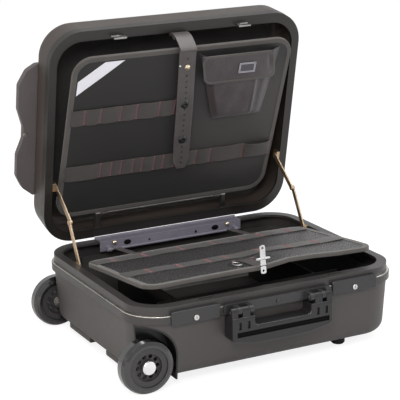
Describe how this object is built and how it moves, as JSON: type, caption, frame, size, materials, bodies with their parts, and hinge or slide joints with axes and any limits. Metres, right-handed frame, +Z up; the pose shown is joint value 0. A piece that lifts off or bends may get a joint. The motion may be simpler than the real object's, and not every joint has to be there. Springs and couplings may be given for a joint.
{
  "type": "wheeled hard tool case",
  "caption": "Open wheeled hard case with a hinged lid, folding stays, tool panels with elastic loops and a pocket, two key locks, a carry handle and a pull-out handle.",
  "frame": {"origin": "the middle of the open case's outer box, on the floor", "axes": "+X runs along the hinge from the wheels to the pull handle, +Y from the carry handle to the hinge, +Z up"},
  "size_m": [0.585, 0.5344, 0.5894],
  "materials": {
    "shell": "fine moulded grain",
    "frame_plastic": "satin",
    "bright_bead": "polished",
    "black_plastic": "satin",
    "handle_plastic": "semi-gloss",
    "lining": "textured board",
    "lid_lining": "short nap",
    "tyre_rubber": "matte",
    "core_plastic": "satin",
    "cap_metal": "polished",
    "steel": "zinc plated",
    "foot_rubber": "matte",
    "tube_aluminium": "anodised",
    "lock_metal": "satin",
    "key_metal": "polished",
    "hinge_metal": "blackened",
    "stay_brass": "dull",
    "panel_fabric": "woven nylon",
    "binding_tape": "woven tape",
    "elastic": "elastic webbing",
    "pocket_fabric": "coated nylon",
    "bare_label": "smooth",
    "strap_web": "webbing"
  },
  "bodies": {
    "base": {"base_shell": "shell", "base_rim": "frame_plastic", "rim_bead": "bright_bead", "base_liner": "lining", "base_insert": "lining", "wheel_housings": "black_plastic", "axles": "steel", "feet": "foot_rubber", "pull_tubes_outer": "tube_aluminium", "pull_bezel": "black_plastic", "lock_plates": "lock_metal", "handle_mount": "lock_metal", "handle_pins": "steel", "base_screws": "steel", "base_hinge_leaf": "hinge_metal", "stay_brackets_base": "stay_brass", "clasp_tab": "strap_web"},
    "wheel_front": {"tyre_front": "tyre_rubber", "wheel_core_front": "core_plastic", "hub_cap_front": "cap_metal"},
    "wheel_rear": {"tyre_rear": "tyre_rubber", "wheel_core_rear": "core_plastic", "hub_cap_rear": "cap_metal"},
    "pull_handle": {"pull_tubes_inner": "tube_aluminium", "pull_grip": "black_plastic"},
    "pull_button": {"pull_button": "handle_plastic"},
    "key_left": {"key_cylinder_left": "key_metal"},
    "key_right": {"key_cylinder_right": "key_metal"},
    "bolt_left": {"latch_bolt_left": "steel"},
    "bolt_right": {"latch_bolt_right": "steel"},
    "carry_handle": {"carry_handle": "handle_plastic", "handle_insert": "black_plastic"},
    "stay_lower": {"stay_lower_links": "stay_brass"},
    "lid": {"lid_shell": "shell", "lid_rim": "frame_plastic", "lid_hinge_leaf": "hinge_metal", "strikers": "steel", "lid_liner": "lid_lining", "lid_foot": "handle_plastic", "lid_foot_screw": "steel", "stay_brackets_lid": "stay_brass", "lid_panel_mount": "steel", "strap_bridge": "strap_web"},
    "stay_upper": {"stay_upper_links": "stay_brass"},
    "lid_panel": {"lid_panel_eyes": "strap_web", "lid_panel_board": "panel_fabric", "lid_panel_binding": "binding_tape", "elastic_rows": "elastic", "corner_label": "bare_label", "pocket_body": "pocket_fabric", "panel_strap": "strap_web", "strap_studs": "cap_metal"},
    "pocket_flap": {"pocket_flap": "pocket_fabric", "pocket_plate": "bare_label"},
    "base_panel_lean": {"base_panel_straps": "strap_web"},
    "base_panel": {"base_panel_board": "panel_fabric", "base_panel_binding": "binding_tape", "base_panel_bands": "binding_tape", "clasp_pull": "cap_metal"},
    "clasp_hook": {"clasp_hook": "cap_metal"}
  },
  "joints": [
    {"name": "lid_hinge", "type": "hinge", "parent": "base", "child": "lid", "pos_m": [0.0085, 0.19838, 0.154], "axis": [-1, 0, 0], "range_deg": [-78.7, 0]},
    {"name": "stay_lower_turn", "type": "hinge", "parent": "base", "child": "stay_lower", "pos_m": [0.0085, 0.07008, 0.146], "axis": [-1, 0, 0], "range_deg": [-97.16, 0]},
    {"name": "stay_upper_turn", "type": "hinge", "parent": "lid", "child": "stay_upper", "pos_m": [0.0085, 0.17997, 0.27677], "axis": [-1, 0, 0], "range_deg": [0, 129.93]},
    {"name": "lid_panel_lean", "type": "hinge", "parent": "lid", "child": "lid_panel", "pos_m": [0.0085, 0.22016, 0.19812], "axis": [-1, 0, 0], "range_deg": [0, 9.81], "deforming": ["strap_bridge"]},
    {"name": "pocket_flap_hinge", "type": "hinge", "parent": "lid_panel", "child": "pocket_flap", "pos_m": [0.1165, 0.07228, 0.51868], "axis": [-1, 0, 0], "range_deg": [0, 90]},
    {"name": "base_panel_lean", "type": "hinge", "parent": "base", "child": "base_panel_lean", "pos_m": [0.0085, 0.16508, 0.138], "axis": [-1, 0, 0], "range_deg": [-6.26, 0]},
    {"name": "base_panel_swing", "type": "hinge", "parent": "base_panel_lean", "child": "base_panel", "pos_m": [0.0085, 0.07334, 0.15459], "axis": [-1, 0, 0], "range_deg": [0, 50]},
    {"name": "clasp_hook_turn", "type": "hinge", "parent": "base_panel", "child": "clasp_hook", "pos_m": [0.0035, -0.20156, 0.18701], "axis": [1, 0, 0], "range_deg": [-88.01, 0]},
    {"name": "carry_handle_turn", "type": "hinge", "parent": "base", "child": "carry_handle", "pos_m": [0.0085, -0.25692, 0.131], "axis": [-1, 0, 0], "range_deg": [0, 95]},
    {"name": "key_left_turn", "type": "hinge", "parent": "base", "child": "key_left", "pos_m": [-0.154, -0.23692, 0.1295], "axis": [0, 1, 0], "range_deg": [0, 90.05]},
    {"name": "key_right_turn", "type": "hinge", "parent": "base", "child": "key_right", "pos_m": [0.171, -0.23692, 0.1295], "axis": [0, -1, 0], "range_deg": [0, 90.05]},
    {"name": "bolt_left_slide", "type": "slide", "parent": "base", "child": "bolt_left", "axis": [1, 0, 0], "range_m": [0, 0.01259]},
    {"name": "bolt_right_slide", "type": "slide", "parent": "base", "child": "bolt_right", "axis": [-1, 0, 0], "range_m": [0, 0.01259]},
    {"name": "wheel_front_spin", "type": "hinge", "parent": "base", "child": "wheel_front", "pos_m": [-0.2425, -0.22092, 0.05], "axis": [0, 1, 0], "continuous": true},
    {"name": "wheel_rear_spin", "type": "hinge", "parent": "base", "child": "wheel_rear", "pos_m": [-0.2425, 0.17908, 0.05], "axis": [0, 1, 0], "continuous": true},
    {"name": "pull_handle_slide", "type": "slide", "parent": "base", "child": "pull_handle", "axis": [1, 0, 0], "range_m": [0, 0.36]},
    {"name": "pull_button_press", "type": "slide", "parent": "pull_handle", "child": "pull_button", "axis": [-1, 0, 0], "range_m": [0, 0.004], "stiffness_N_per_m": 400}
  ],
  "couplings": [
    {"joint": "stay_lower_turn", "follows": "lid_hinge", "ratio": 1.2344},
    {"joint": "stay_upper_turn", "follows": "lid_hinge", "ratio": -1.6508},
    {"joint": "lid_panel_lean", "follows": "lid_hinge", "ratio": -0.12452},
    {"joint": "base_panel_lean", "follows": "lid_hinge", "ratio": 0.079416},
    {"joint": "clasp_hook_turn", "follows": "lid_hinge", "ratio": 1.1182},
    {"joint": "key_left_turn", "follows": "bolt_left_slide", "rad_per_m": 124.8},
    {"joint": "key_right_turn", "follows": "bolt_right_slide", "rad_per_m": 124.8}
  ]
}
